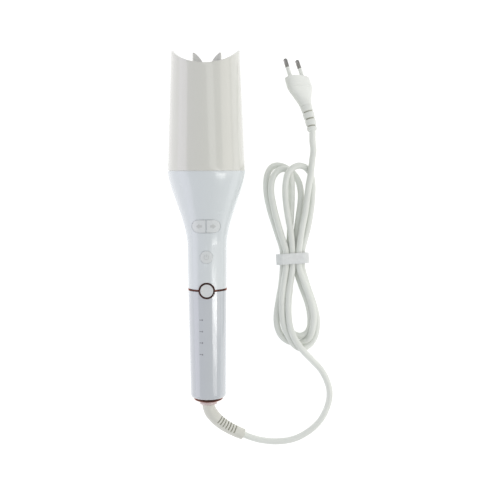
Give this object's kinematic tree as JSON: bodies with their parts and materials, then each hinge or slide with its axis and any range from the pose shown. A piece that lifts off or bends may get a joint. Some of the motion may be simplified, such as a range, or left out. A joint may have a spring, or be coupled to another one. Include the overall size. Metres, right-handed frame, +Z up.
{
  "type": "automatic hair curler",
  "caption": "Automatic hair curler: heated barrel turning inside an open chamber with a hair slot, push buttons, and a swivelling mains lead tied in a hank.",
  "frame": {"origin": "on the floor under the middle of the curler without its lead, at the lowest point", "axes": "+Y towards the head along the floor, +X to the right seen from above with the head up, +Z up, towards the buttons"},
  "size_m": [0.1565, 0.3787, 0.0769],
  "materials": {
    "cream_shell": "satin moulded plastic, warm grey-white",
    "white_shell": "soft gloss white with a cool tint",
    "grip": "glossy cool white",
    "rose_metal": "polished rose-gold plating",
    "keys": "soft gloss white",
    "insulator": "matt black heat-resistant plastic",
    "acetal": "natural",
    "steel": "bright",
    "brass": "machined",
    "coated_aluminium": "dark ceramic coating",
    "circuit_board": "green solder mask",
    "cord": "matt light grey PVC",
    "strap": "white hook-and-loop tape",
    "plug_pvc": "matt off-white PVC"
  },
  "bodies": {
    "handle": {"chamber_shell": "cream_shell", "front_housing": "white_shell", "rear_housing": "white_shell", "grip_sleeve": "grip", "trim_band": "rose_metal", "select_bezel": "rose_metal", "end_plate": "rose_metal", "indicator_light_pipe": "keys", "chamber_floor": "insulator", "brush_block": "insulator", "left_switch": "insulator", "right_switch": "insulator", "power_switch": "insulator", "select_switch": "insulator", "transformer": "insulator", "capacitor": "insulator", "heater_relay": "insulator", "bearing_bridge": "acetal", "swivel_retainer": "acetal", "motor_can": "steel", "screw_lower": "steel", "screw_left": "steel", "screw_right": "steel", "rear_bush": "brass", "front_bush": "brass", "motor_gearbox": "brass", "brush_lower": "brass", "brush_upper": "brass", "control_board": "circuit_board", "supply_board": "circuit_board"},
    "barrel": {"spindle": "steel", "drive_gear": "acetal", "slip_ring_lower": "brass", "slip_ring_upper": "brass", "barrel_base": "insulator", "barrel_tube": "coated_aluminium", "heater_core": "steel", "barrel_cap": "insulator", "hair_catch": "insulator"},
    "pinion": {"motor_pinion": "brass", "motor_shaft": "steel"},
    "left_button": {"left_button": "keys"},
    "right_button": {"right_button": "keys"},
    "power_button": {"power_button": "keys"},
    "select_button": {"select_button": "keys"},
    "lead": {"swivel_ferrule": "acetal", "strain_relief": "cord", "cord_lead": "cord", "cord_hank": "cord", "cord_tie": "strap", "cord_tail": "cord", "plug_body": "plug_pvc", "plug_relief": "plug_pvc", "plug_pin_left": "steel", "plug_pin_right": "steel"}
  },
  "joints": [
    {"name": "barrel_spin", "type": "hinge", "parent": "handle", "child": "barrel", "pos_m": [0, 0.08426, 0.03851], "axis": [0, 0.996, 0.0895], "continuous": true},
    {"name": "pinion_spin", "type": "hinge", "parent": "handle", "child": "pinion", "pos_m": [0, 0.03344, 0.0231], "axis": [0, 0.996, 0.0895], "continuous": true},
    {"name": "left_button_press", "type": "slide", "parent": "handle", "child": "left_button", "axis": [0, 0.0895, -0.996], "range_m": [0, 0.0007], "stiffness_N_per_m": 600},
    {"name": "right_button_press", "type": "slide", "parent": "handle", "child": "right_button", "axis": [0, 0.0895, -0.996], "range_m": [0, 0.0007], "stiffness_N_per_m": 600},
    {"name": "power_button_press", "type": "slide", "parent": "handle", "child": "power_button", "axis": [0, 0.0895, -0.996], "range_m": [0, 0.0007], "stiffness_N_per_m": 600},
    {"name": "select_button_press", "type": "slide", "parent": "handle", "child": "select_button", "axis": [0, 0.0895, -0.996], "range_m": [0, 0.0007], "stiffness_N_per_m": 600},
    {"name": "cord_swivel", "type": "hinge", "parent": "handle", "child": "lead", "pos_m": [0, -0.16174, 0.01641], "axis": [0, 0.996, 0.0895], "range_deg": [-180, 180]}
  ],
  "couplings": [
    {"joint": "pinion_spin", "follows": "barrel_spin", "ratio": -2}
  ]
}
